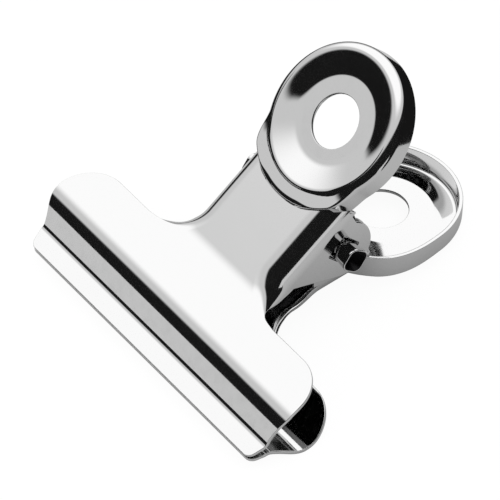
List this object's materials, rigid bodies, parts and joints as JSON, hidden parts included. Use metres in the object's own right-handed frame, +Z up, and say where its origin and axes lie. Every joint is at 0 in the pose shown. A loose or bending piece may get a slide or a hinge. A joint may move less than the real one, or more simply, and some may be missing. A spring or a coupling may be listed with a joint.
{
  "type": "bulldog clip",
  "caption": "Bright plated steel bulldog clip: pressed levers with a wide sprung jaw, hinged on side lugs, with dished and pierced thumb discs.",
  "frame": {"origin": "middle of the clip's footprint on the table it lies on", "axes": "+X along the jaw, +Y from the lips towards the thumb discs, +Z up from the table"},
  "size_m": [0.05, 0.0473, 0.0284],
  "materials": {
    "bright_nickel": "bright nickel plate on pressed steel sheet",
    "spring_steel": "dark tempered spring steel strip"
  },
  "bodies": {
    "rear": {"rear_jaw": "bright_nickel", "spring": "spring_steel"},
    "front": {"front_jaw": "bright_nickel"}
  },
  "joints": [
    {"name": "jaw_hinge", "type": "hinge", "parent": "rear", "child": "front", "pos_m": [0, 0.00225, 0.00937], "axis": [-1, 0, 0], "range_deg": [0, 35], "stiffness_Nm_per_rad": 0.2, "springref_deg": -57.3, "deforming": ["spring"]}
  ]
}
